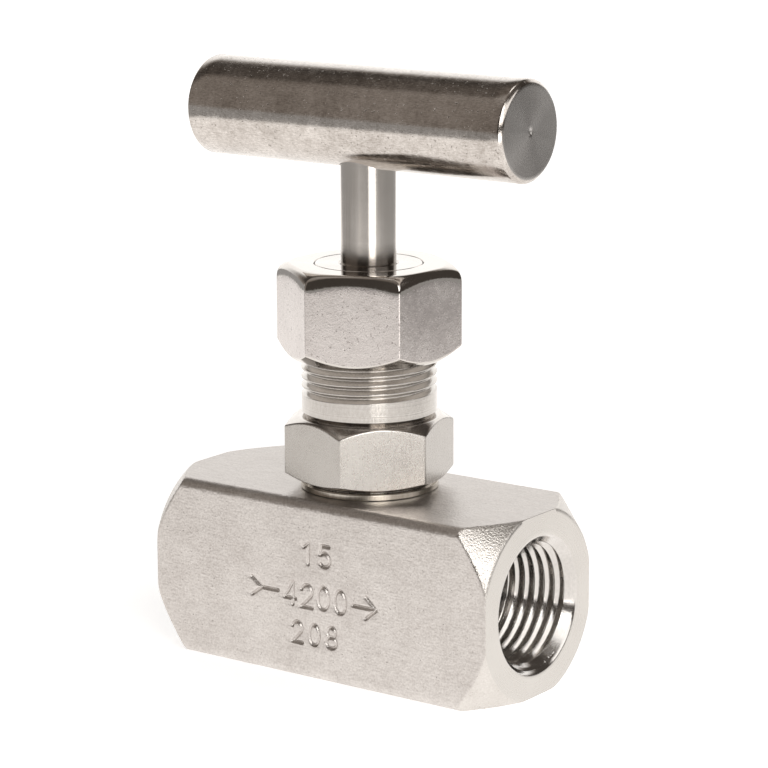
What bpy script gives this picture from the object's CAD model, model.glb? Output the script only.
"""The looks of a stainless steel needle valve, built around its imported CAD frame.

Sizes are in millimetres and angles in degrees, and become metres and radians where a piece is made.
The ports and the handle lie along X, and the stem, packing nut and bonnet stand on Z.
"""

import math

import bmesh
import bpy
import numpy as np
from mathutils import Matrix, Vector


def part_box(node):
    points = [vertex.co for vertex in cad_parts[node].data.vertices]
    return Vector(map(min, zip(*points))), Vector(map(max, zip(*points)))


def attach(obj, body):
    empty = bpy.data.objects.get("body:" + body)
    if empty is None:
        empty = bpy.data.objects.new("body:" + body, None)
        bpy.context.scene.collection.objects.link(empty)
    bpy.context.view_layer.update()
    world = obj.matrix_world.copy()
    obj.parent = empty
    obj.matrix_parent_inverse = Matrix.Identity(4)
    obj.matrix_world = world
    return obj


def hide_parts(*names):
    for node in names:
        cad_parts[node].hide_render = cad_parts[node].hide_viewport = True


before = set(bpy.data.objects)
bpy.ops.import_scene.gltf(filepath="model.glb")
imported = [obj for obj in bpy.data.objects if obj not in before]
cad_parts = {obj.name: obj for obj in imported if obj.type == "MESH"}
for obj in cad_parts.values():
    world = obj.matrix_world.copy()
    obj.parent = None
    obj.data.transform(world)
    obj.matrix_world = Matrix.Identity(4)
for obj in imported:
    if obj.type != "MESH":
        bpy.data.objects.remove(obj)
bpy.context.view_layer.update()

# ------------------------------ sizes

MM = 0.001

# Meshes
BODY_COLUMNS = 360
BONNET_COLUMNS = 300
NUT_COLUMNS = 360
RING_SIDES = 160
HANDLE_SIDES = 200
CUTTER_SIDES = 96
THREAD_STEPS = 120  # for each turn
CUT_OVERRUN = 1.0  # how far a cutter runs on into the open
SHARP_ANGLE = 32  # an edge that turns more than this stays sharp
HEX_CORNER_BLEND = 0.22  # width over which a hexagon's corners are rounded

# Body
PORT_AXIS_Z = 14.2875
BODY_HALF_LENGTH = 31.75
BODY_HALF_WIDTH = 14.2875
BODY_EDGE_RADIUS = 1.5
END_FACE_RADIUS = 14.99
END_CONE_ANGLE = 48  # from the end face
PORT_PITCH = 1.814
PORT_CREST_RADIUS = 9.2  # at the mouth
PORT_TAPER = 1 / 32  # loss of radius for each millimetre of depth
PORT_MOUTH_RADIUS = 10.85
PORT_DEPTH = 13.65
PORT_TIP_ANGLE = 59  # between the drill point's cone and the axis
PORT_TIP_RING = 0.3  # radius of the first ring round the drill point
PORT_THREAD_HEIGHT = 1.15
PORT_THREAD_WIDTH = 0.96 * PORT_PITCH
PORT_THREAD_CLEAR = 0.9  # from the port's floor to its thread
PORT_THREAD_START = 34.38  # round the port, from +Y
PORT_THREAD_TURNS = 7.9
PORT_RUN_IN = 1.6  # turns
PORT_RUN_OUT = 0.1
CHAMBER_RADIUS = 6.6
CHAMBER_FLOOR_Z = 11.0875
CHAMBER_TOP_Z = 17.4875
BONNET_HOLE_RADIUS = 9.15
PASSAGE_RADIUS = 2.4
PASSAGE_END_X = 19.1  # inside the port
INLET_FOOT_Z = 5.4
INLET_MOUTH_Z = 9.62

# Marks pressed into the body's front face
MARK_DEPTH = 0.34
MARK_HALF_WIDTH = 0.33
MARK_SHOULDER = 0.015
MARK_GRID = 0.08
MARKED_X = (-13.6, 12.8)
MARKED_Z = (4.6, 23.0)

# Bonnet
BONNET_HEX_FLATS = 23.3
BONNET_HEX_ANGLE = 46.2  # from +X to a corner
BONNET_HEX_CHAMFER = 35  # slope of the hexagon's turned top corners
BONNET_THREAD_RADIUS = 9.0
BONNET_NOSE_Z = 17.5675
THREAD_CHAMFER = 0.6
NECK_RADIUS = 9.5
NECK_Z = 29.585
HEX_Z = 30.235
HEX_TOP_Z = 40.135
COLLAR_Z = 40.685
BONNET_TOP_Z = 57.985
NUT_THREAD_Z = 43.515
NUT_THREAD_RADIUS = 10.59
NUT_THREAD_HEIGHT = 0.9
NUT_THREAD_ROOT = 0.16
NUT_PITCH = 1.411
NUT_THREAD_START = 70  # from +X to where the groove begins
NUT_THREAD_TURNS = 10.8
NUT_RUN_IN = 0.2  # turns
NUT_RUN_OUT = 0.3
RELIEF_RADIUS = 9.69
STUFFING_BOX_RADIUS = 7.14
STUFFING_BOX_FLOOR_Z = 42.385
STEM_BORE_RADIUS = 4.42
STEM_THREAD_BORE_RADIUS = 5.65
BACK_SEAT_Z = 38.155

# Washer under the bonnet
WASHER_BORE_RADIUS = 9.2
WASHER_RADIUS = 10.8
WASHER_Z = 28.66
WASHER_TOP_Z = 29.5

# Packing nut
NUT_FLATS = 25.4
NUT_ANGLE = 25  # from +X to a corner
NUT_BASE_Z = 49.465
NUT_TOP_Z = 63.965
NUT_LIP_Z = 61.115
NUT_BORE_RADIUS = 10.74
NUT_HOLE_RADIUS = 8.47
NUT_TOP_INSET = 0.7  # the flat top's radius, short of half the flats
NUT_DOME_WIDTH = 4.3
NUT_DOME_HEIGHT = 8.0
NUT_BASE_INSET = 0.5
NUT_BASE_CHAMFER = 38  # slope of the turned lower corners
NUT_CORNER_ROLL = 0.5  # width over which a corner rolls into the dome
NUT_FLAT_ROLL = 1.9  # added to it at the middle of a flat
NUT_BASE_ROLL = 0.28

# Gland follower
GLAND_GAP = 0.12  # between its end and the nut's hole
GLAND_SPIGOT_RADIUS = 7.02
GLAND_FLANGE_RADIUS = 10.38
GLAND_FLANGE_Z = 58.735
GLAND_FLANGE_TOP_Z = 61.035
GLAND_CHAMFER = 0.12
GLAND_BORE_CHAMFER = 0.35

# Stem
STEM_RADIUS = 4.3
STEM_NOSE_RADIUS = 2.4
SNAP_GROOVE_RADIUS = 1.95
SNAP_GROOVE_Z = 20.11
SNAP_GROOVE_TOP_Z = 20.87
STEM_HEAD_Z = 21.745
STEM_THREAD_RADIUS = 5.5
STEM_THREAD_TOP_Z = 32.45
STEM_SHOULDER_Z = 33.65
STEM_CHAMFER = 0.6
STEM_AXIS_RING = 0.4  # radius of the first ring round each end's middle

# Handle
HANDLE_Z = 86.465
HANDLE_RADIUS = 7.8
HANDLE_HALF_LENGTH = 29.7
HANDLE_CHAMFER = 0.6
HANDLE_BORE_TOP = 3.5  # above the bar's axis
DIMPLE_RADIUS = 0.55
DIMPLE_DEPTH = 0.2
SET_SCREW_HOLE_RADIUS = 2.55

# ------------------------------ mesh helpers


def new_object(name, points, faces, materials=(), origin=(0, 0, 0), indices=None):
    """A mesh object from points in millimetres."""
    mesh = bpy.data.meshes.new(name)
    local = (np.asarray(points, float) - np.asarray(origin, float)) * MM
    mesh.from_pydata(local.tolist(), [], faces)
    for material in materials:
        mesh.materials.append(material)
    if indices is not None:
        mesh.polygons.foreach_set("material_index", np.asarray(indices, np.int32))
    mesh.update()
    made = bpy.data.objects.new(name, mesh)
    made.location = Vector(origin) * MM
    bpy.context.scene.collection.objects.link(made)
    return made


def new_piece(name, points, faces, body, slot, nodes, materials, **placing):
    """A visual piece, which rides on a body and stands for CAD nodes."""
    piece = new_object(name, points, faces, materials, **placing)
    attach(piece, body)
    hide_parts(*nodes)
    return piece


def smooth_shade(piece):
    """Smooth shading that breaks at the sharp edges."""
    piece.data.polygons.foreach_set("use_smooth", np.ones(len(piece.data.polygons), bool))
    piece.data.set_sharp_from_angle(angle=math.radians(SHARP_ANGLE))


def skin_faces(rows, columns, poles):
    """Faces of a grid whose columns wrap round.

    Its first and last rows are joined, or with poles each shrinks to a point: the first and the last of all.
    """
    wrap = np.arange(columns)
    nxt = (wrap + 1) % columns
    faces = []
    if poles:
        top = 1 + rows * columns
        faces += [(0, 1 + int(b), 1 + int(a)) for a, b in zip(wrap, nxt)]
        base = np.arange(rows - 1)[:, None] * columns + 1
    else:
        base = np.arange(rows)[:, None] * columns
    upper = base + columns if poles else (base + columns) % (rows * columns)
    quads = np.stack([base + wrap, base + nxt, upper + nxt, upper + wrap], -1).reshape(-1, 4)
    faces += quads.tolist()
    if poles:
        last = 1 + (rows - 1) * columns
        faces += [(last + int(a), last + int(b), top) for a, b in zip(wrap, nxt)]
    return faces


def smooth_min(a, b, width):
    """The smaller of a and b, rounded where they meet."""
    h = np.clip(0.5 + 0.5 * (b - a) / width, 0, 1)
    return b * (1 - h) + a * h - width * h * (1 - h)


def run(start, end, step):
    """[radius, height] rows along a straight line from start up to, but not at, end."""
    start, end = np.array(start, float), np.array(end, float)
    count = max(1, round(float(np.linalg.norm(end - start)) / step))
    return [start + (end - start) * i / count for i in range(count)]


def rows_of(*stops):
    """Rows through (radius, height, step) stops, each step reaching to the next stop."""
    rows = []
    for (r0, z0, step), (r1, z1, _) in zip(stops, stops[1:]):
        rows += run((r0, z0), (r1, z1), step)
    rows.append(np.array(stops[-1][:2], float))
    return np.array(rows)


def spread(rows, angles):
    """Each row's radius and height, repeated for every angle."""
    return np.repeat(rows[:, :1], len(angles), 1), np.repeat(rows[:, 1:2], len(angles), 1)


def around_z(radius, height, angles):
    """Grid points round Z."""
    return np.stack([radius * np.cos(angles), radius * np.sin(angles), height], -1)


def around_x(radius, along, angles, axis_z):
    """Grid points round a line along X, from +Y upwards."""
    points = np.stack([along, radius * np.cos(angles), radius * np.sin(angles)], -1)
    points[..., 2] += axis_z
    return points


def hexagon_radius(angles, flats, corner):
    """Distance from the axis to a hexagon's side, with its corners slightly rounded."""
    around = np.mod(angles - math.radians(corner) + math.pi / 6, math.pi / 3) - math.pi / 6
    left = flats / 2 / np.cos(around - math.pi / 6)
    right = flats / 2 / np.cos(around + math.pi / 6)
    return smooth_min(left, right, HEX_CORNER_BLEND)


def square_radius(angles, half, corner):
    """Distance from the axis to a square bar's side, with round corners."""
    across = np.abs(np.cos(angles))
    up = np.abs(np.sin(angles))
    flat = half / np.maximum(across, up)
    centre = half - corner
    along = centre * (across + up)
    arc = along + np.sqrt(np.maximum(along**2 - 2 * centre**2 + corner**2, 0))
    in_corner = flat * np.minimum(across, up) > centre
    return np.where(in_corner, arc, flat)


def even_angles(count):
    """Evenly spaced angles, in radians."""
    return np.arange(count) * 2 * math.pi / count


def column_angles(count, corners, reach, extra):
    """Evenly spaced angles in radians, with extra ones within reach of each corner."""
    near = [math.radians(c) + math.radians(reach) * t for c in corners for t in np.linspace(-1, 1, extra)]
    merged = np.sort(np.mod(np.concatenate([even_angles(count), near]), 2 * math.pi))
    return merged[np.append(np.diff(merged) > 1e-4, True)]


def hexagon_angles(count, corner):
    """Angles round a hexagon, closer together at its corners."""
    return column_angles(count, [corner + 60 * i for i in range(6)], 1.6, 9)


def sharp_groove(depth, root):
    """Section of a 60 degree thread groove, as (along the axis, into the metal) points."""
    over = 0.12
    half_open = root / 2 + (depth + over) * math.tan(math.pi / 6)
    return [(-half_open, -over), (-root / 2, depth), (root / 2, depth), (half_open, -over)]


def worn_groove(depth, width):
    """Section of a groove whose flanks steepen towards the root."""
    over, lip, steps = 0.1, 0.02, 12
    points = [(-width / 2 - lip, -over)]
    for i in range(steps + 1):
        t = 1 - abs(2 * i / steps - 1)
        points.append((width * (i / steps - 0.5), depth * t * (0.7 + 0.3 * t)))
    return points + [(width / 2 + lip, -over)]


def thread_cutter(place, crest, into, section, pitch, start, turns, run_in, run_out):
    """The groove of a thread, as a throwaway object.

    place(along, angle, radius) gives a point, and crest(along) the radius of the crests. into is 1 where the
    metal is outside that radius, and -1 where it is inside. start is the place along the axis and the angle
    where the groove begins. It sinks in over run_in turns and rises out over run_out turns.
    """
    height = max(r for _, r in section) - section[0][1]
    n = len(section)
    points = []
    steps = round(turns * THREAD_STEPS)
    for i in range(steps + 1):
        turn = turns * i / steps
        along = start[0] + pitch * turn
        angle = math.radians(start[1]) + 2 * math.pi * turn
        lift = (1 - min(1, turn / run_in, (turns - turn) / run_out)) * height
        points += [place(along + a, angle, crest(along + a) + into * (r - lift)) for a, r in section]
    faces = [tuple(range(n)), tuple(n * steps + k for k in reversed(range(n)))]
    for i in range(steps):
        faces += [(n * i + k, n * i + n + k, n * i + n + (k + 1) % n, n * i + (k + 1) % n) for k in range(n)]
    cutter = new_object("thread_groove", points, faces)
    shell = bmesh.new()
    shell.from_mesh(cutter.data)
    bmesh.ops.recalc_face_normals(shell, faces=shell.faces)
    shell.to_mesh(cutter.data)
    shell.free()
    return cutter


def cylinder_cutter(radius, start, end):
    """A cylinder between two points, as a throwaway object."""
    start, end = Vector(start), Vector(end)
    along = end - start
    turn = along.to_track_quat("Z", "Y").to_matrix()
    circle = around_z(radius, np.zeros(CUTTER_SIDES), even_angles(CUTTER_SIDES))
    base = circle @ np.array(turn).T + np.array(start)
    points = [np.array(start), *base, *(base + np.array(along)), np.array(end)]
    return new_object("cutter", points, skin_faces(2, CUTTER_SIDES, True))


def cut(piece, cutter, slot=0):
    """Takes a throwaway object's shape out of a piece. The new faces take the material in that slot."""
    for material in piece.data.materials:
        cutter.data.materials.append(material)
    cutter.data.polygons.foreach_set("material_index", np.full(len(cutter.data.polygons), slot, np.int32))
    modifier = piece.modifiers.new("cut", "BOOLEAN")
    modifier.operation = "DIFFERENCE"
    modifier.object = cutter
    modifier.solver = "MANIFOLD"
    bpy.context.view_layer.update()
    evaluated = piece.evaluated_get(bpy.context.evaluated_depsgraph_get())
    result = bpy.data.meshes.new_from_object(evaluated)
    piece.modifiers.clear()
    old = piece.data
    piece.data = result
    bpy.data.meshes.remove(old)
    bpy.data.objects.remove(cutter)


# ------------------------------ node helpers


class Tree:
    """Short calls for building a node tree."""

    def __init__(self, tree):
        self.tree = tree

    def add(self, kind, inputs=(), **settings):
        node = self.tree.nodes.new(kind)
        for name, value in settings.items():
            setattr(node, name, value)
        for name, value in dict(inputs).items():
            if isinstance(value, bpy.types.NodeSocket):
                self.tree.links.new(value, node.inputs[name])
            else:
                node.inputs[name].default_value = value
        return node

    def math(self, operation, *values, clamp=False):
        node = self.add("ShaderNodeMath", dict(enumerate(values)), operation=operation, use_clamp=clamp)
        return node.outputs[0]

    def product(self, first, *others):
        for other in others:
            first = self.math("MULTIPLY", first, other)
        return first

    def total(self, first, *others):
        for other in others:
            first = self.math("ADD", first, other)
        return first

    def vector_math(self, operation, *values):
        node = self.add("ShaderNodeVectorMath", dict(enumerate(values)), operation=operation)
        return node.outputs["Value" if operation in ("LENGTH", "DOT_PRODUCT") else "Vector"]

    def part(self, vector, axis):
        return self.add("ShaderNodeSeparateXYZ", {0: vector}).outputs[axis]

    def noise(self, vector, scale, detail=3.0, roughness=0.55):
        node = self.add(
            "ShaderNodeTexNoise",
            {"Vector": vector, "Scale": scale, "Detail": detail, "Roughness": roughness},
        )
        return node.outputs["Fac"]

    def remap(self, value, low, high, out_low, out_high):
        node = self.add("ShaderNodeMapRange", {0: value, 1: low, 2: high, 3: out_low, 4: out_high})
        return node.outputs[0]

    def mix_colour(self, factor, a, b):
        """Mixes two colours, each an (r, g, b) tuple or a socket."""
        a, b = ((*c, 1) if isinstance(c, tuple) else c for c in (a, b))
        node = self.add("ShaderNodeMix", {0: factor, 6: a, 7: b}, data_type="RGBA")
        return node.outputs[2]


def new_material(name):
    """A material without nodes, and the calls that fill its tree."""
    material = bpy.data.materials.new(name)
    material.use_nodes = True
    material.node_tree.nodes.clear()
    return material, Tree(material.node_tree)


# ------------------------------ materials

LAYER_GAIN = 4  # noise stays within about a quarter on either side of its middle
BROAD_SCALE = 0.13  # of the slow changes across a piece
PIT_SCALE = 2.2
PIT_DEPTH = 0.05
EDGE_REACH = 0.12  # how far from an edge its worn band reaches
EDGE_POLISH = 0.15
STAIN_STRENGTH = 0.6
STAIN_COLOUR = (0.08, 0.06, 0.045)
MOTTLE_SCALE = 900.0  # for each metre
EVEN = (1, 1, 1)


def steel(
    name, dark, light, roughness, layers, tangent=None, anisotropy=0.0, centre=(0, 0, 0), pits=0.0, wear=0.3,
    stain=None,
):
    """Procedural stainless steel.

    Each layer is (shape, size, shade, depth, gloss): noise with grains of that size, drawn out by the shape's
    factors along X, Y and Z, or tool marks round the axis that the shape names. It shifts the colour by shade
    and the roughness by gloss, and stands out by depth. The brushing runs round the tangent axis. pits is the
    share of small dark pits, and wear is how much the edges brighten. stain is the pair of heights between
    which a brown stain fades out upwards.
    """
    material, t = new_material(name)
    place = t.add("ShaderNodeTexCoord").outputs["Object"]
    scaled = t.add("ShaderNodeVectorMath", {0: place, "Scale": 1 / MM}, operation="SCALE").outputs[0]
    millimetres = t.vector_math("SUBTRACT", scaled, centre)
    broad = t.noise(millimetres, BROAD_SCALE, 3.0, 0.5)
    shade = t.remap(broad, 0.3, 0.7, 0.3, 0.7)
    gloss = t.remap(broad, 0.3, 0.7, roughness * 0.9, roughness * 1.1)
    height = 0.0
    for shape, size, shade_by, depth, gloss_by in layers:
        noise = ring_noise if isinstance(shape, str) else drawn_noise
        grain = noise(t, millimetres, shape, size)
        centred = t.math("SUBTRACT", grain, 0.5)
        shade = t.math("MULTIPLY_ADD", centred, shade_by * LAYER_GAIN, shade)
        gloss = t.math("MULTIPLY_ADD", centred, gloss_by * LAYER_GAIN, gloss)
        height = t.math("MULTIPLY_ADD", centred, depth * LAYER_GAIN, height)
    if pits:
        pit = t.remap(t.noise(millimetres, PIT_SCALE, 1.0, 0.5), 0.76 - pits, 0.8 - pits, 0.0, 1.0)
        height = t.math("MULTIPLY_ADD", pit, -PIT_DEPTH, height)
        shade = t.math("MULTIPLY_ADD", pit, -0.7, shade)

    rounded = t.add("ShaderNodeBevel", {"Radius": EDGE_REACH * MM}, samples=6).outputs[0]
    flat = t.add("ShaderNodeNewGeometry").outputs["Normal"]
    edge = t.remap(t.vector_math("DOT_PRODUCT", rounded, flat), 0.995, 0.93, 0.0, wear)
    shade = t.math("ADD", shade, edge, clamp=True)
    gloss = t.math("MAXIMUM", t.math("MULTIPLY_ADD", edge, -EDGE_POLISH, gloss), 0.04)

    colour = t.mix_colour(shade, dark, light)
    if stain:
        stained = t.remap(t.part(millimetres, "Z"), *stain, STAIN_STRENGTH, 0.0)
        colour = t.mix_colour(stained, colour, STAIN_COLOUR)
    bump = t.add(
        "ShaderNodeBump",
        {"Height": t.math("MULTIPLY", height, MM), "Distance": 1.0, "Strength": 1.0, "Normal": rounded},
    )
    inputs = {
        "Base Color": colour,
        "Metallic": 1.0,
        "Roughness": gloss,
        "Normal": bump.outputs["Normal"],
        "Anisotropic": anisotropy,
        "Anisotropic Rotation": 0.25,
    }
    if tangent:
        inputs["Tangent"] = t.add("ShaderNodeTangent", direction_type="RADIAL", axis=tangent).outputs[0]
    shader = t.add("ShaderNodeBsdfPrincipled", inputs)
    t.add("ShaderNodeOutputMaterial", {"Surface": shader.outputs[0]})
    return material


def drawn_noise(t, millimetres, shape, size):
    """Noise whose grains are drawn out by the shape's factors along X, Y and Z."""
    drawn_out = tuple(1 / (size * factor) for factor in shape)
    return t.noise(t.vector_math("MULTIPLY", millimetres, drawn_out), 1.0, 2.0, 0.6)


def ring_noise(t, millimetres, axis, size):
    """Noise that is the same all round an axis, as a lathe tool leaves."""
    across = t.vector_math("MULTIPLY", millimetres, {"X": (0, 1, 1), "Z": (1, 1, 0)}[axis])
    out = t.vector_math("LENGTH", across)
    node = t.add(
        "ShaderNodeTexNoise",
        {"W": t.total(t.part(millimetres, axis), out), "Scale": 1 / size, "Detail": 3.0, "Roughness": 0.65},
        noise_dimensions="1D",
    )
    return node.outputs["Fac"]


def plastic(name, colour, roughness):
    """Soft packing with a faint mottle."""
    material, t = new_material(name)
    mottle = t.noise(t.add("ShaderNodeTexCoord").outputs["Object"], MOTTLE_SCALE)
    bump = t.add("ShaderNodeBump", {"Height": mottle, "Distance": 0.02 * MM})
    darker = tuple(c * 0.9 for c in colour)
    shader = t.add(
        "ShaderNodeBsdfPrincipled",
        {
            "Base Color": t.mix_colour(mottle, darker, colour),
            "Roughness": t.remap(mottle, 0.3, 0.7, roughness * 0.9, roughness * 1.1),
            "Normal": bump.outputs["Normal"],
        },
    )
    t.add("ShaderNodeOutputMaterial", {"Surface": shader.outputs[0]})
    return material


PORT_AXIS = (0, 0, PORT_AXIS_Z)
bar_steel = steel(
    "bar_steel", (0.46, 0.425, 0.4), (0.73, 0.695, 0.665), 0.38,
    [(EVEN, 0.35, 0.36, 0.011, 0.04), ((5, 1, 0.35), 0.5, 0.14, 0.006, 0.0), (EVEN, 1.4, 0.14, 0.01, 0.02)],
    pits=0.006, wear=0.12,
)
cone_steel = steel(
    "cone_steel", (0.5, 0.465, 0.43), (0.74, 0.71, 0.675), 0.3,
    [(EVEN, 0.3, 0.25, 0.022, 0.05), ("X", 0.25, 0.1, 0.004, 0.02)],
    tangent="X", anisotropy=0.2, centre=PORT_AXIS, wear=0.1,
)
end_face_steel = steel(
    "end_face_steel", (0.54, 0.515, 0.485), (0.66, 0.635, 0.6), 0.28,
    [("X", 0.3, 0.1, 0.0015, 0.02), (EVEN, 0.7, 0.06, 0.0, 0.02)],
    tangent="X", anisotropy=0.3, centre=PORT_AXIS, wear=0.2,
)
port_steel = steel(
    "port_steel", (0.5, 0.475, 0.45), (0.74, 0.715, 0.69), 0.14,
    [(EVEN, 0.5, 0.12, 0.002, 0.03), ("X", 0.12, 0.1, 0.0006, 0.02)],
    tangent="X", anisotropy=0.3, centre=PORT_AXIS, wear=0.35,
)
nut_hex_steel = steel(
    "nut_hex_steel", (0.46, 0.42, 0.4), (0.76, 0.715, 0.69), 0.25,
    [(EVEN, 0.25, 0.14, 0.004, 0.04), (EVEN, 1.1, 0.14, 0.004, 0.03)],
    pits=0.07, wear=0.35,
)
bonnet_hex_steel = steel(
    "bonnet_hex_steel", (0.36, 0.335, 0.31), (0.56, 0.535, 0.505), 0.28,
    [(EVEN, 0.28, 0.2, 0.005, 0.04), ((1, 1, 4), 0.5, 0.1, 0.003, 0.02)],
    wear=0.15,
)
turned_steel = steel(
    "turned_steel", (0.48, 0.45, 0.42), (0.68, 0.65, 0.62), 0.12,
    [("Z", 0.3, 0.1, 0.0012, 0.02), (EVEN, 0.4, 0.12, 0.0015, 0.03)],
    tangent="Z", anisotropy=0.4,
)
nut_top_steel = steel(
    "nut_top_steel", (0.5, 0.465, 0.43), (0.68, 0.65, 0.615), 0.09,
    [(EVEN, 0.5, 0.14, 0.0015, 0.02), ("Z", 0.3, 0.06, 0.0, 0.01)],
)
collar_steel = steel(
    "collar_steel", (0.4, 0.375, 0.35), (0.62, 0.59, 0.555), 0.15,
    [("Z", 0.2, 0.18, 0.002, 0.02), ((1, 1, 3), 0.3, 0.22, 0.002, 0.03)],
    tangent="Z", anisotropy=0.5, wear=0.35,
)
washer_steel = steel(
    "washer_steel", (0.42, 0.385, 0.33), (0.76, 0.71, 0.64), 0.2,
    [((1, 1, 12), 0.25, 0.4, 0.003, 0.03), ("Z", 0.2, 0.1, 0.001, 0.02)],
    tangent="Z", anisotropy=0.2, wear=0.25,
)
stem_steel = steel(
    "stem_steel", (0.5, 0.465, 0.43), (0.7, 0.665, 0.625), 0.18,
    [((1, 1, 60), 0.35, 0.12, 0.0006, 0.02), ("Z", 0.12, 0.06, 0.0008, 0.01)],
    tangent="Z", anisotropy=0.5, wear=0.2, stain=(64.6, 67.5),
)
handle_steel = steel(
    "handle_steel", (0.33, 0.295, 0.265), (0.76, 0.715, 0.675), 0.16,
    [
        ((3, 1, 1), 0.2, 0.3, 0.0014, 0.03),
        ((0.3, 3, 3), 0.25, 0.16, 0.0006, 0.02),
        (EVEN, 1.5, 0.16, 0.0, 0.04),
    ],
    tangent="X", anisotropy=0.3, pits=0.05,
)
handle_end_steel = steel(
    "handle_end_steel", (0.34, 0.32, 0.305), (0.62, 0.6, 0.58), 0.27,
    [("X", 0.2, 0.12, 0.0008, 0.02), (EVEN, 0.3, 0.08, 0.001, 0.02)],
    tangent="X", anisotropy=0.9, wear=0.35,
)
hard_steel = steel(
    "hard_steel", (0.4, 0.39, 0.38), (0.58, 0.57, 0.56), 0.22,
    [("Z", 0.2, 0.1, 0.002, 0.02)],
    tangent="Z", anisotropy=0.4,
)
black_steel = steel(
    "black_steel", (0.015, 0.015, 0.016), (0.06, 0.06, 0.062), 0.38,
    [(EVEN, 0.2, 0.3, 0.006, 0.05)],
)
packing_plastic = plastic("packing_plastic", (0.86, 0.85, 0.82), 0.5)

# ------------------------------ body


def arc(x, z, width, height, start, end, steps=16):
    """Points along part of an ellipse."""
    angles = np.radians(np.linspace(start, end, steps))
    return [(x + width * math.cos(a), z + height * math.sin(a)) for a in angles]


# Strokes in a box one unit high
DIGITS = {
    "0": [arc(0.3, 0.5, 0.29, 0.5, 0, 360, 28)],
    "1": [[(0.08, 0.8), (0.34, 1.0), (0.34, 0.0)]],
    "2": [arc(0.3, 0.7, 0.28, 0.3, 165, -35) + [(0.02, 0.0), (0.6, 0.0)]],
    "4": [[(0.6, 0.27), (0.0, 0.27), (0.45, 1.0), (0.45, 0.0)]],
    "5": [[(0.55, 1.0), (0.08, 1.0), (0.04, 0.56)] + arc(0.28, 0.33, 0.3, 0.33, 120, -140)],
    "8": [arc(0.3, 0.75, 0.24, 0.25, 0, 360, 20), arc(0.3, 0.26, 0.29, 0.27, 0, 360, 24)],
}
DIGIT_MIDDLE = 0.3

# Text, middle x and z, height, and distance from one digit to the next
LINES = [("15", 0.2, 20.3, 3.3, 3.4), ("4200", -0.1, 13.6, 3.6, 3.25), ("208", -0.3, 7.5, 3.3, 3.3)]
ARROW = [
    [(-12.5, 14.9), (-10.5, 13.5), (-7.3, 13.5)],
    [(-12.4, 12.1), (-10.5, 13.5)],
    [(7.2, 13.5), (11.6, 13.5)],
    [(9.7, 15.2), (11.6, 13.5), (9.6, 11.8)],
]


def mark_strokes():
    """All strokes on the front face, as lists of (x, z) points. Each digit leans a little differently."""
    jitter = np.random.default_rng(7)
    strokes = [list(s) for s in ARROW]
    for text, x, z, height, advance in LINES:
        for i, digit in enumerate(text):
            left = x + (i - (len(text) - 1) / 2) * advance - DIGIT_MIDDLE * height
            foot = z - height / 2 + jitter.uniform(-0.1, 0.1)
            lean = jitter.uniform(-0.03, 0.03)
            for stroke in DIGITS[digit]:
                strokes.append([(left + (u + lean * v) * height, foot + v * height) for u, v in stroke])
    return strokes


def distance_to_strokes(x, z, strokes):
    """Distance from each grid point to the nearest stroke."""
    nearest = np.full(x.shape, 1e3)
    for stroke in strokes:
        for (x0, z0), (x1, z1) in zip(stroke, stroke[1:]):
            dx, dz = x1 - x0, z1 - z0
            t = np.clip(((x - x0) * dx + (z - z0) * dz) / (dx * dx + dz * dz + 1e-12), 0, 1)
            nearest = np.minimum(nearest, np.hypot(x - x0 - t * dx, z - z0 - t * dz))
    return nearest


def mark_cutter(x, z, depth):
    """A slab in front of the front face, as a throwaway object. Its inner side lies depth behind the face."""
    rows, columns = x.shape
    wavy = np.stack([x, -BODY_HALF_WIDTH + depth, z], -1).reshape(-1, 3)
    flat = np.stack([x, np.full(x.shape, -BODY_HALF_WIDTH - CUT_OVERRUN), z], -1).reshape(-1, 3)
    index = np.arange(rows * columns).reshape(rows, columns)
    a, b, c, d = index[:-1, :-1], index[:-1, 1:], index[1:, 1:], index[1:, :-1]
    inner = np.stack([d, c, b, a], -1).reshape(-1, 4)
    outer = np.stack([a, b, c, d], -1).reshape(-1, 4) + rows * columns
    ring = np.concatenate([index[0, :-1], index[:-1, -1], index[-1, :0:-1], index[:0:-1, 0]])
    after = np.roll(ring, -1)
    sides = np.stack([ring, after, after + rows * columns, ring + rows * columns], -1)
    faces = np.concatenate([inner, outer, sides]).tolist()
    return new_object("marks", np.concatenate([wavy, flat]), faces)


def press_marks(body):
    """Presses the marks' strokes into the front face, with a soft shoulder along each side."""
    x, z = np.meshgrid(np.arange(*MARKED_X, MARK_GRID), np.arange(*MARKED_Z, MARK_GRID))
    away = distance_to_strokes(x, z, mark_strokes())
    depth = (MARK_DEPTH + MARK_SHOULDER) * np.exp(-2 * (away / MARK_HALF_WIDTH) ** 2) - MARK_SHOULDER
    # Away from the strokes the slab draws back from the face
    depth -= np.clip(away - 1.5 * MARK_HALF_WIDTH, 0, 0.5)
    cut(body, mark_cutter(x, z, depth))


def port_rows():
    """[radius, x] rows of a port, from its drill point out to its mouth, and the x of the point itself."""
    bottom = BODY_HALF_LENGTH - PORT_DEPTH
    end_radius = PORT_CREST_RADIUS - PORT_DEPTH * PORT_TAPER
    slope = math.tan(math.radians(PORT_TIP_ANGLE))
    tip = bottom - end_radius / slope
    countersink = (PORT_MOUTH_RADIUS - PORT_CREST_RADIUS) / (1 - PORT_TAPER)
    rows = rows_of(
        (PORT_TIP_RING, tip + PORT_TIP_RING / slope, 1.2),
        (end_radius, bottom, 1.0),
        (PORT_CREST_RADIUS - countersink * PORT_TAPER, BODY_HALF_LENGTH - countersink, 0.4),
        (PORT_MOUTH_RADIUS - 0.08, BODY_HALF_LENGTH - 0.08, 0.2),
    )
    return rows, tip


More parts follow.
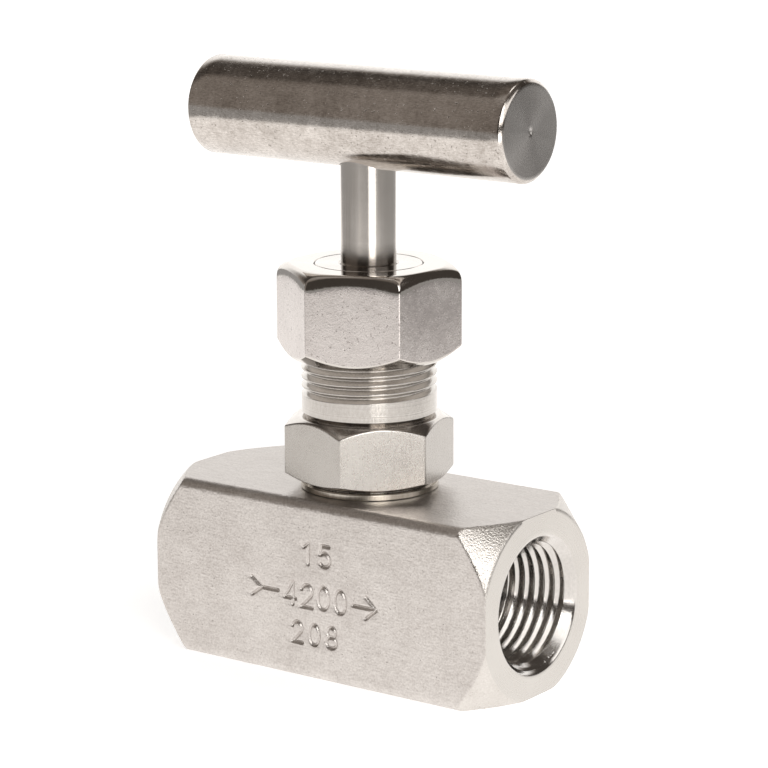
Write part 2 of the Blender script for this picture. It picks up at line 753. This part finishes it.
def bar_rows():
    """[radius, x] rows of the turned outside, from a port's mouth to the middle of the bar."""
    cone = math.tan(math.radians(END_CONE_ANGLE))
    corner = BODY_HALF_WIDTH * math.sqrt(2) + CUT_OVERRUN
    return rows_of(
        (PORT_MOUTH_RADIUS + 0.06, BODY_HALF_LENGTH, 0.5),
        (END_FACE_RADIUS - 0.12, BODY_HALF_LENGTH, 0.06),
        (END_FACE_RADIUS + 0.08, BODY_HALF_LENGTH - 0.12, 0.14),
        (corner, BODY_HALF_LENGTH - (corner - END_FACE_RADIUS) * cone, 2.0),
        (corner, 0, 2.0),
    )


def port_groove(side):
    """The thread of the port at the +X end, or at the other end when side is -1."""

    def place(along, angle, radius):
        return side * along, side * radius * math.cos(angle), radius * math.sin(angle) + PORT_AXIS_Z

    def crest(along):
        return PORT_CREST_RADIUS + (along - BODY_HALF_LENGTH) * PORT_TAPER

    return thread_cutter(
        place, crest, into=1,
        section=worn_groove(PORT_THREAD_HEIGHT, PORT_THREAD_WIDTH),
        pitch=PORT_PITCH,
        start=(BODY_HALF_LENGTH - PORT_DEPTH + PORT_THREAD_CLEAR, PORT_THREAD_START),
        turns=PORT_THREAD_TURNS, run_in=PORT_RUN_IN, run_out=PORT_RUN_OUT,
    )


SIDES, PORT, CONES, END_FACES = range(4)  # the body's material slots


def half_zones(rows, port_count, turned, bar):
    """The zone of each grid point on half the body."""
    zone = np.where(turned < bar, CONES, SIDES)
    zone[:port_count] = PORT
    on_face = (rows[:, 1] > BODY_HALF_LENGTH - 0.02) & (rows[:, 0] > PORT_MOUTH_RADIUS)
    zone[on_face] = END_FACES
    return zone


def make_body():
    port, tip = port_rows()
    rows = np.concatenate([port, bar_rows()])
    angles = column_angles(BODY_COLUMNS, [45, 135, 225, 315], 6, 25)
    columns = len(angles)
    bar = square_radius(angles, BODY_HALF_WIDTH, BODY_EDGE_RADIUS)[None, :]
    turned, x = spread(rows, angles)
    half = around_x(smooth_min(turned, bar, 0.25), x, angles, 0)
    zone = half_zones(rows, len(port), turned, bar)

    # The other end is this one turned half round Z, so its columns run the other way
    order = np.argsort(np.mod(math.pi - angles, 2 * math.pi))
    other = half[-2::-1][:, order] * np.array([-1, -1, 1])
    points = np.concatenate([half, other]) + np.array([0, 0, PORT_AXIS_Z])
    zone = np.concatenate([zone, zone[-2::-1][:, order]])

    # A band of faces takes the zone of its first row, or of the next where the first is on an end face
    bands = np.where(zone[:-1] == END_FACES, zone[1:], zone[:-1])
    bands[len(port) - 1] = PORT
    bands[len(points) - len(port) - 1] = PORT
    caps = np.full(columns, PORT)

    cloud = np.concatenate([[(tip, 0, PORT_AXIS_Z)], points.reshape(-1, 3), [(-tip, 0, PORT_AXIS_Z)]])
    body = new_piece(
        "valve_body_bar", cloud, skin_faces(len(points), columns, True),
        "valve_body", "machined_steel", ["body"], [bar_steel, port_steel, cone_steel, end_face_steel],
        indices=np.concatenate([caps, bands.reshape(-1), caps]),
    )
    cut(body, port_groove(1), PORT)
    cut(body, port_groove(-1), PORT)
    for radius, start, end in (
        (BONNET_HOLE_RADIUS, (0, 0, CHAMBER_TOP_Z), (0, 0, 2 * BODY_HALF_WIDTH + CUT_OVERRUN)),
        (CHAMBER_RADIUS, (0, 0, CHAMBER_FLOOR_Z), (0, 0, CHAMBER_TOP_Z + CUT_OVERRUN)),
        (PASSAGE_RADIUS, (0, 0, INLET_FOOT_Z), (0, 0, CHAMBER_FLOOR_Z + CUT_OVERRUN)),
        (PASSAGE_RADIUS, (0, 0, PORT_AXIS_Z), (PASSAGE_END_X, 0, PORT_AXIS_Z)),
        (PASSAGE_RADIUS, (0, 0, INLET_FOOT_Z), (-PASSAGE_END_X, 0, INLET_MOUTH_Z)),
    ):
        cut(body, cylinder_cutter(radius, start, end), PORT)
    press_marks(body)
    smooth_shade(body)


make_body()

# ------------------------------ bonnet and washer


def bonnet_outside():
    """[radius, z] rows from the bonnet's nose up to its top. The hexagon is cut from the widest part."""
    flat_radius = BONNET_HEX_FLATS / 2
    corner_radius = BONNET_HEX_FLATS / math.sqrt(3)
    shoulder = HEX_TOP_Z - (corner_radius + 1.35 - flat_radius) * math.tan(math.radians(BONNET_HEX_CHAMFER))
    return rows_of(
        (BONNET_THREAD_RADIUS - THREAD_CHAMFER, BONNET_NOSE_Z, 1),
        (BONNET_THREAD_RADIUS, BONNET_NOSE_Z + THREAD_CHAMFER, 4),
        (BONNET_THREAD_RADIUS, NECK_Z, 1),
        (NECK_RADIUS + 0.3, NECK_Z, 0.2),
        (NECK_RADIUS, NECK_Z + 0.3, 0.2),
        (NECK_RADIUS + 0.2, HEX_Z - 0.01, 0.4),
        (flat_radius - 0.35, HEX_Z, 0.1),
        (corner_radius + 0.3, HEX_Z + 1.05, 0.1),
        (corner_radius + 1, HEX_Z + 1.35, 1.0),
        (corner_radius + 1, shoulder, 0.15),
        (flat_radius - 0.35, HEX_TOP_Z, 0.2),
        (RELIEF_RADIUS + 0.35, HEX_TOP_Z + 0.12, 0.15),
        (RELIEF_RADIUS, HEX_TOP_Z + 0.4, 0.1),
        (RELIEF_RADIUS, COLLAR_Z, 0.3),
        (NUT_THREAD_RADIUS - 0.15, COLLAR_Z, 0.08),
        (NUT_THREAD_RADIUS, COLLAR_Z + 0.15, 0.5),
        (NUT_THREAD_RADIUS, BONNET_TOP_Z - THREAD_CHAMFER, 0.8),
        (NUT_THREAD_RADIUS - THREAD_CHAMFER, BONNET_TOP_Z, 1),
        (STUFFING_BOX_RADIUS + 0.3, BONNET_TOP_Z, 0.4),
    )


def bonnet_bore():
    """[radius, z] rows from the stuffing box's mouth down to the bonnet's nose."""
    back_seat_height = STEM_THREAD_BORE_RADIUS - STEM_BORE_RADIUS
    return rows_of(
        (STUFFING_BOX_RADIUS, BONNET_TOP_Z - 0.3, 4),
        (STUFFING_BOX_RADIUS, STUFFING_BOX_FLOOR_Z, 1),
        (STEM_BORE_RADIUS, STUFFING_BOX_FLOOR_Z, 2),
        (STEM_BORE_RADIUS, BACK_SEAT_Z + back_seat_height, 1),
        (STEM_THREAD_BORE_RADIUS, BACK_SEAT_Z, 4),
        (STEM_THREAD_BORE_RADIUS, BONNET_NOSE_Z, 1),
    )


def nut_groove():
    """The bonnet's thread for the packing nut. It begins at the back."""

    def place(along, angle, radius):
        return radius * math.cos(angle), radius * math.sin(angle), along

    def crest(_):
        return NUT_THREAD_RADIUS

    return thread_cutter(
        place, crest, into=-1,
        section=sharp_groove(NUT_THREAD_HEIGHT, NUT_THREAD_ROOT),
        pitch=NUT_PITCH,
        start=(NUT_THREAD_Z, NUT_THREAD_START),
        turns=NUT_THREAD_TURNS, run_in=NUT_RUN_IN, run_out=NUT_RUN_OUT,
    )


def make_bonnet():
    angles = hexagon_angles(BONNET_COLUMNS, BONNET_HEX_ANGLE)
    limit = hexagon_radius(angles, BONNET_HEX_FLATS, BONNET_HEX_ANGLE)[None, :]
    outside = bonnet_outside()
    turned, height = spread(outside, angles)
    in_hex = ((outside[:, 1] > HEX_Z - 0.001) & (outside[:, 1] < HEX_TOP_Z))[:, None]
    radius = np.where(in_hex, smooth_min(turned, limit, 0.2), turned)
    bore = around_z(*spread(bonnet_bore(), angles), angles)
    points = np.concatenate([around_z(radius, height, angles), bore])

    # 0 turned, 1 the hexagon's sides, 2 the collar and thread
    zone = np.where(in_hex & (turned > limit + 0.15), 1, np.where(height > COLLAR_Z, 2, 0))
    zone = np.concatenate([zone, np.zeros(bore.shape[:2], int)])
    piece = new_piece(
        "bonnet_turning", points.reshape(-1, 3), skin_faces(len(points), len(angles), False),
        "valve_body", "turned_steel", ["bonnet"], [turned_steel, bonnet_hex_steel, collar_steel],
        indices=zone.reshape(-1),
    )
    cut(piece, nut_groove(), 2)
    smooth_shade(piece)


def make_ring(name, body, slot, node, profile, material):
    """A turned ring from its closed section."""
    angles = even_angles(RING_SIDES)
    points = around_z(*spread(np.array(profile, float), angles), angles)
    faces = skin_faces(len(profile), RING_SIDES, False)
    smooth_shade(new_piece(name, points.reshape(-1, 3), faces, body, slot, [node], [material]))


def make_washer():
    lower, upper = 0.06, 0.04  # its broken edges
    make_ring(
        "bonnet_washer_ring", "valve_body", "turned_steel", "bonnet_washer",
        [
            (WASHER_BORE_RADIUS, WASHER_Z), (WASHER_RADIUS - lower, WASHER_Z),
            (WASHER_RADIUS, WASHER_Z + lower), (WASHER_RADIUS, WASHER_TOP_Z - upper),
            (WASHER_RADIUS - upper, WASHER_TOP_Z), (WASHER_BORE_RADIUS, WASHER_TOP_Z),
        ],
        washer_steel,
    )


make_bonnet()
make_washer()

# ------------------------------ packing nut and gland


def nut_outside():
    """[radius, z] rows from the nut's base up over its dome. The hexagon is cut from the widest part."""
    half = NUT_FLATS / 2
    reach = half - NUT_TOP_INSET + NUT_DOME_WIDTH
    base_rise = (reach - half + NUT_BASE_INSET) * math.tan(math.radians(NUT_BASE_CHAMFER))
    side = rows_of(
        (NUT_BORE_RADIUS + 0.5, NUT_BASE_Z, 0.3),
        (half - NUT_BASE_INSET, NUT_BASE_Z, 0.1),
        (reach, NUT_BASE_Z + base_rise, 1.0),
        (reach, NUT_TOP_Z - NUT_DOME_HEIGHT, 1.0),
    )
    angle = np.linspace(0, math.pi / 2, 90)[1:]
    dome = np.stack([
        half - NUT_TOP_INSET + NUT_DOME_WIDTH * np.cos(angle),
        NUT_TOP_Z - NUT_DOME_HEIGHT * (1 - np.sin(angle)),
    ], -1)
    return np.concatenate([side, dome])


def nut_inside():
    """[radius, z] rows from the hole in the nut's top down to its base."""
    return rows_of(
        (NUT_HOLE_RADIUS + 0.12, NUT_TOP_Z, 0.1),
        (NUT_HOLE_RADIUS, NUT_TOP_Z - 0.12, 1),
        (NUT_HOLE_RADIUS, NUT_LIP_Z, 1),
        (NUT_BORE_RADIUS, NUT_LIP_Z, 4),
        (NUT_BORE_RADIUS, NUT_BASE_Z + 0.5, 0.5),
    )


def make_nut():
    angles = hexagon_angles(NUT_COLUMNS, NUT_ANGLE)
    limit = hexagon_radius(angles, NUT_FLATS, NUT_ANGLE)[None, :]
    rows = np.concatenate([nut_outside(), nut_inside()])
    turned, height = spread(rows, angles)

    # The flats roll over widely into the domed top, and the corners and the lower edge only a little
    half, corner_radius = NUT_FLATS / 2, NUT_FLATS / math.sqrt(3)
    from_corner = np.clip((corner_radius - limit) / (corner_radius - half), 0, 1)
    top_roll = NUT_CORNER_ROLL + NUT_FLAT_ROLL * from_corner**0.6
    roll = np.where(height > (NUT_BASE_Z + NUT_TOP_Z) / 2, top_roll, NUT_BASE_ROLL)
    points = around_z(smooth_min(turned, limit, roll), height, angles)

    # 0 the top and the turned parts, 1 the hexagon's sides
    zone = np.where(turned > limit + 0.8 * roll, 1, 0)
    smooth_shade(new_piece(
        "packing_nut_hexagon", points.reshape(-1, 3), skin_faces(len(rows), len(angles), False),
        "packing_nut", "machined_steel", ["packing_nut"], [nut_top_steel, nut_hex_steel],
        indices=zone.reshape(-1),
    ))


def make_gland():
    lo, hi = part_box("gland_follower")
    base, top = lo.z / MM, hi.z / MM
    boss = NUT_HOLE_RADIUS - GLAND_GAP
    make_ring(
        "gland_follower_turning", "gland", "turned_steel", "gland_follower",
        [
            (STEM_BORE_RADIUS, base), (GLAND_SPIGOT_RADIUS, base), (GLAND_SPIGOT_RADIUS, GLAND_FLANGE_Z),
            (GLAND_FLANGE_RADIUS, GLAND_FLANGE_Z), (GLAND_FLANGE_RADIUS, GLAND_FLANGE_TOP_Z),
            (boss, GLAND_FLANGE_TOP_Z), (boss, top - GLAND_CHAMFER), (boss - GLAND_CHAMFER, top),
            (STEM_BORE_RADIUS + GLAND_BORE_CHAMFER, top), (STEM_BORE_RADIUS, top - GLAND_BORE_CHAMFER),
        ],
        turned_steel,
    )


make_nut()
make_gland()

# ------------------------------ stem


def make_stem():
    lo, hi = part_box("stem")
    bottom, top = lo.z / MM, hi.z / MM
    rows = rows_of(
        (STEM_AXIS_RING, bottom, 1),
        (STEM_NOSE_RADIUS, bottom, 1),
        (STEM_NOSE_RADIUS, SNAP_GROOVE_Z, 0.3),
        (SNAP_GROOVE_RADIUS, SNAP_GROOVE_Z, 0.3),
        (SNAP_GROOVE_RADIUS, SNAP_GROOVE_TOP_Z, 0.3),
        (STEM_NOSE_RADIUS, SNAP_GROOVE_TOP_Z, 0.3),
        (STEM_NOSE_RADIUS, STEM_HEAD_Z, 1),
        (STEM_THREAD_RADIUS, STEM_HEAD_Z, 1),
        (STEM_THREAD_RADIUS, STEM_THREAD_TOP_Z, 1),
        (STEM_RADIUS, STEM_SHOULDER_Z, 1),
        (STEM_RADIUS, top - STEM_CHAMFER, 1),
        (STEM_RADIUS - STEM_CHAMFER, top, 1),
        (STEM_AXIS_RING, top, 1),
    )
    angles = even_angles(RING_SIDES)
    points = around_z(*spread(rows, angles), angles).reshape(-1, 3)
    cloud = np.concatenate([[(0, 0, bottom)], points, [(0, 0, top)]])
    faces = skin_faces(len(rows), len(angles), True)
    smooth_shade(new_piece("stem_rod", cloud, faces, "stem", "turned_steel", ["stem"], [stem_steel]))


make_stem()

# ------------------------------ handle


def make_handle():
    end, chamfer = HANDLE_HALF_LENGTH, HANDLE_CHAMFER
    half = rows_of(
        (DIMPLE_RADIUS - 0.3, end - DIMPLE_DEPTH + 0.02, 0.12),
        (DIMPLE_RADIUS, end, 0.5),
        (HANDLE_RADIUS - chamfer - 0.08, end, 0.05),
        (HANDLE_RADIUS - chamfer + 0.06, end - 0.07, 0.2),
        (HANDLE_RADIUS - 0.06, end - chamfer + 0.07, 0.05),
        (HANDLE_RADIUS, end - chamfer - 0.1, 2),
        (HANDLE_RADIUS, 0, 2),
    )
    rows = np.concatenate([half, half[-2::-1] * np.array([1, -1])])
    angles = even_angles(HANDLE_SIDES)
    points = around_x(*spread(rows, angles), angles, HANDLE_Z)
    tip = end - DIMPLE_DEPTH
    cloud = np.concatenate([[(tip, 0, HANDLE_Z)], points.reshape(-1, 3), [(-tip, 0, HANDLE_Z)]])

    # 0 the round side, 1 the ends
    on_end = (np.abs(rows[:, 1]) > end - 0.01) | (rows[:, 0] < DIMPLE_RADIUS)
    bands = np.repeat(on_end[:-1] | on_end[1:], len(angles)).astype(int)
    cap = np.ones(len(angles), int)
    piece = new_piece(
        "handle_round_bar", cloud, skin_faces(len(rows), len(angles), True),
        "stem", "handle_steel", ["handle_bar"], [handle_steel, handle_end_steel],
        origin=(0, 0, HANDLE_Z), indices=np.concatenate([cap, bands, cap]),
    )
    below, behind = HANDLE_Z - HANDLE_RADIUS - CUT_OVERRUN, HANDLE_RADIUS + CUT_OVERRUN
    cut(piece, cylinder_cutter(STEM_BORE_RADIUS, (0, 0, below), (0, 0, HANDLE_Z + HANDLE_BORE_TOP)))
    cut(piece, cylinder_cutter(SET_SCREW_HOLE_RADIUS, (0, 0, HANDLE_Z), (0, behind, HANDLE_Z)))
    smooth_shade(piece)


make_handle()

# ------------------------------ pieces that keep their CAD shape

node_materials = {
    "needle_tip": hard_steel,
    "thrust_ball": hard_steel,
    "needle_snap_ring": hard_steel,
    "handle_set_screw": black_steel,
    "packing_support_washer": turned_steel,
    "packing_gland_washer": turned_steel,
}
for name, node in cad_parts.items():
    node.data.materials.clear()
    node.data.materials.append(node_materials.get(name, packing_plastic))

# ------------------------------ camera

CAMERA_AZIMUTH = 36.161
CAMERA_ELEVATION = 12.468
CAMERA_ROLL = -0.216
CAMERA_DISTANCE = 472.74
CAMERA_TARGET_Z = 44.676
CAMERA_TARGET_SIDE = 2.303
CAMERA_LENS = 142.3
CAMERA_SENSOR = 36
CAMERA_NEAR = 10


def make_camera():
    azimuth, elevation = math.radians(CAMERA_AZIMUTH), math.radians(CAMERA_ELEVATION)
    right = Vector((math.cos(azimuth), math.sin(azimuth), 0))
    back = Vector((
        math.sin(azimuth) * math.cos(elevation),
        -math.cos(azimuth) * math.cos(elevation),
        math.sin(elevation),
    ))
    up = back.cross(right)
    target = Vector((0, 0, CAMERA_TARGET_Z)) + right * CAMERA_TARGET_SIDE
    pose = Matrix((right, up, back)).transposed() @ Matrix.Rotation(math.radians(CAMERA_ROLL), 3, "Z")
    data = bpy.data.cameras.new("camera")
    data.lens = CAMERA_LENS
    data.sensor_width = CAMERA_SENSOR
    data.clip_start = CAMERA_NEAR * MM
    camera = bpy.data.objects.new("camera", data)
    camera.matrix_world = Matrix.Translation((target + back * CAMERA_DISTANCE) * MM) @ pose.to_4x4()
    bpy.context.scene.collection.objects.link(camera)
    bpy.context.scene.camera = camera


make_camera()

# ------------------------------ studio

# A strip of white paper runs under the object, from in front of it to far behind, and curves up there.
# One softbox stands right of the camera, a second one further right, and a third one hangs overhead.
PAPER_LEFT = 265
PAPER_RIGHT = 225
PAPER_FRONT = 330
PAPER_EDGE_BLUR = 30
FLOOR_HALF_SIZE = 4000
FLOOR_DROP = 0.02
FLOOR_GLOW = 0.62

PAPER_LEVEL = 1.3
BESIDE_PAPER_LEVEL = 0.42
SWEEP_LEVEL = 1.35
KEY_LEVEL = 4.2
TOP_LEVEL = 2.2
SIDE_LEVEL = 1.6
WALL_LEVEL = 0.21
ROOM_LEVEL = 0.07
HIGH_ROOM_LEVEL = 0.22

# Azimuths are to the right of the camera, seen from the object. A pair is where a light is full and gone.
SWEEP_LEFT = (-150, -130)
SWEEP_RIGHT = (140, 122)
SWEEP_HEIGHT = (27, 43)
KEY_AZIMUTH = 16
KEY_WIDTH = (9, 16)
KEY_BOTTOM = (15, 10)
KEY_HEIGHT = (46, 54)
TOP_AZIMUTH = 130
TOP_ELEVATION = 79
TOP_WIDTH = (9, 13)
SIDE_AZIMUTH = 55
SIDE_WIDTH = (28, 36)
SIDE_BOTTOM = (17.46, 11.54)
SIDE_HEIGHT = (36.87, 47.73)
WALL_AZIMUTH = -78
WALL_WIDTH = (24, 38)
HIGH_ROOM = (48.59, 66.93)  # elevations between which the room brightens upwards

PAPER_TINT = (1, 0.975, 0.95, 1)
DIM_TINT = (1, 0.86, 0.75)
LIT_TINT = (1, 0.985, 0.965)


def camera_frame(t, place):
    """Splits a place or a direction into towards the camera, to its right, and up."""
    azimuth = math.radians(CAMERA_AZIMUTH)
    towards = t.vector_math("DOT_PRODUCT", place, (math.sin(azimuth), -math.cos(azimuth), 0))
    across = t.vector_math("DOT_PRODUCT", place, (math.cos(azimuth), math.sin(azimuth), 0))
    return towards, across, t.part(place, "Z")


def fade(t, value, full, gone):
    """1 where the value is at full or past it, falling smoothly to 0 at gone."""
    inputs = {0: value, 1: gone, 2: full, 3: 0.0, 4: 1.0}
    return t.add("ShaderNodeMapRange", inputs, interpolation_type="SMOOTHSTEP").outputs[0]


def fade_azimuth(t, azimuth, pair):
    """1 at the pair's first azimuth or past it, falling to 0 at its second."""
    return fade(t, azimuth, *(math.radians(angle) for angle in pair))


def fade_elevation(t, up, pair):
    """1 at the pair's first elevation or past it, falling to 0 at its second."""
    return fade(t, up, *(math.sin(math.radians(angle)) for angle in pair))


def sector(t, azimuth, centre, pair):
    """1 within the pair's first angle of the centre's azimuth, falling to 0 at its second."""
    off = t.math("ABSOLUTE", t.math("SUBTRACT", azimuth, math.radians(centre)))
    return fade_azimuth(t, off, pair)


def split_for_camera(t, output, reflected, seen):
    """Shows the camera one shader and every reflection another."""
    is_camera = t.add("ShaderNodeLightPath").outputs["Is Camera Ray"]
    mixed = t.add("ShaderNodeMixShader", {0: is_camera, 1: reflected.outputs[0], 2: seen.outputs[0]})
    t.add(output, {"Surface": mixed.outputs[0]})


def make_floor():
    """A wide white floor. In reflections it is as bright as the strip of paper, and dim beside it."""
    material, t = new_material("floor_paint")
    towards, across, _ = camera_frame(t, t.add("ShaderNodeTexCoord").outputs["Object"])
    blur = PAPER_EDGE_BLUR * MM
    left, right, front = -PAPER_LEFT * MM, PAPER_RIGHT * MM, PAPER_FRONT * MM
    inside = t.product(
        fade(t, across, left + blur, left - blur),
        fade(t, across, right - blur, right + blur),
        fade(t, towards, front - blur, front + blur),
    )
    key = t.product(
        sector(t, t.math("ARCTAN2", across, towards), KEY_AZIMUTH, KEY_WIDTH),
        fade(t, towards, front + blur, front - blur),
        KEY_LEVEL,
    )
    level = t.total(t.remap(inside, 0.0, 1.0, BESIDE_PAPER_LEVEL, PAPER_LEVEL), key)
    reflected = t.add("ShaderNodeEmission", {"Color": PAPER_TINT, "Strength": level})
    seen = t.add(
        "ShaderNodeBsdfPrincipled",
        {
            "Base Color": (0.85, 0.85, 0.85, 1),
            "Roughness": 0.8,
            "Emission Color": (1, 1, 1, 1),
            "Emission Strength": FLOOR_GLOW,
        },
    )
    split_for_camera(t, "ShaderNodeOutputMaterial", reflected, seen)
    size = FLOOR_HALF_SIZE
    corners = [(-size, -size, 0), (size, -size, 0), (size, size, 0), (-size, size, 0)]
    floor = new_object("floor", corners, [(0, 1, 2, 3)], [material])
    floor.location.z = -FLOOR_DROP * MM


def overhead(t, direction):
    """The softbox above the object, a little behind it."""
    turn, rise = math.radians(CAMERA_AZIMUTH + TOP_AZIMUTH), math.radians(TOP_ELEVATION)
    axis = (math.sin(turn) * math.cos(rise), -math.cos(turn) * math.cos(rise), math.sin(rise))
    facing = t.vector_math("DOT_PRODUCT", direction, axis)
    full, gone = (math.cos(math.radians(angle)) for angle in TOP_WIDTH)
    return t.product(fade(t, facing, full, gone), TOP_LEVEL)


def room(t, azimuth, up):
    """The dim room, with a paler wall to the left of the camera and a paler ceiling."""
    start, end = (math.sin(math.radians(angle)) for angle in HIGH_ROOM)
    wall = t.product(sector(t, azimuth, WALL_AZIMUTH, WALL_WIDTH), WALL_LEVEL)
    return t.total(wall, t.remap(up, start, end, ROOM_LEVEL, HIGH_ROOM_LEVEL))


def make_world():
    """The studio's lights and walls, warm where they are dim."""
    world = bpy.data.worlds.new("studio")
    bpy.context.scene.world = world
    world.use_nodes = True
    world.node_tree.nodes.clear()
    t = Tree(world.node_tree)
    direction = t.add("ShaderNodeTexCoord").outputs["Generated"]
    towards, across, up = camera_frame(t, direction)
    azimuth = t.math("ARCTAN2", across, towards)
    sweep = t.product(
        t.total(fade_azimuth(t, azimuth, SWEEP_LEFT), fade_azimuth(t, azimuth, SWEEP_RIGHT)),
        fade_elevation(t, up, SWEEP_HEIGHT),
        SWEEP_LEVEL,
    )
    key = t.product(
        sector(t, azimuth, KEY_AZIMUTH, KEY_WIDTH),
        fade_elevation(t, up, KEY_BOTTOM),
        fade_elevation(t, up, KEY_HEIGHT),
        KEY_LEVEL,
    )
    side = t.product(
        sector(t, azimuth, SIDE_AZIMUTH, SIDE_WIDTH),
        fade_elevation(t, up, SIDE_BOTTOM),
        fade_elevation(t, up, SIDE_HEIGHT),
        SIDE_LEVEL,
    )
    level = t.total(sweep, key, overhead(t, direction), side, room(t, azimuth, up))
    lit = t.remap(level, WALL_LEVEL, 3 * WALL_LEVEL, 0.0, 1.0)
    tint = t.mix_colour(lit, DIM_TINT, LIT_TINT)
    reflected = t.add("ShaderNodeBackground", {"Color": tint, "Strength": level})
    seen = t.add("ShaderNodeBackground", {"Color": (1, 1, 1, 1), "Strength": 1.0})
    split_for_camera(t, "ShaderNodeOutputWorld", reflected, seen)


make_floor()
make_world()

scene = bpy.context.scene
scene.view_settings.view_transform = "Standard"
scene.view_settings.look = "None"
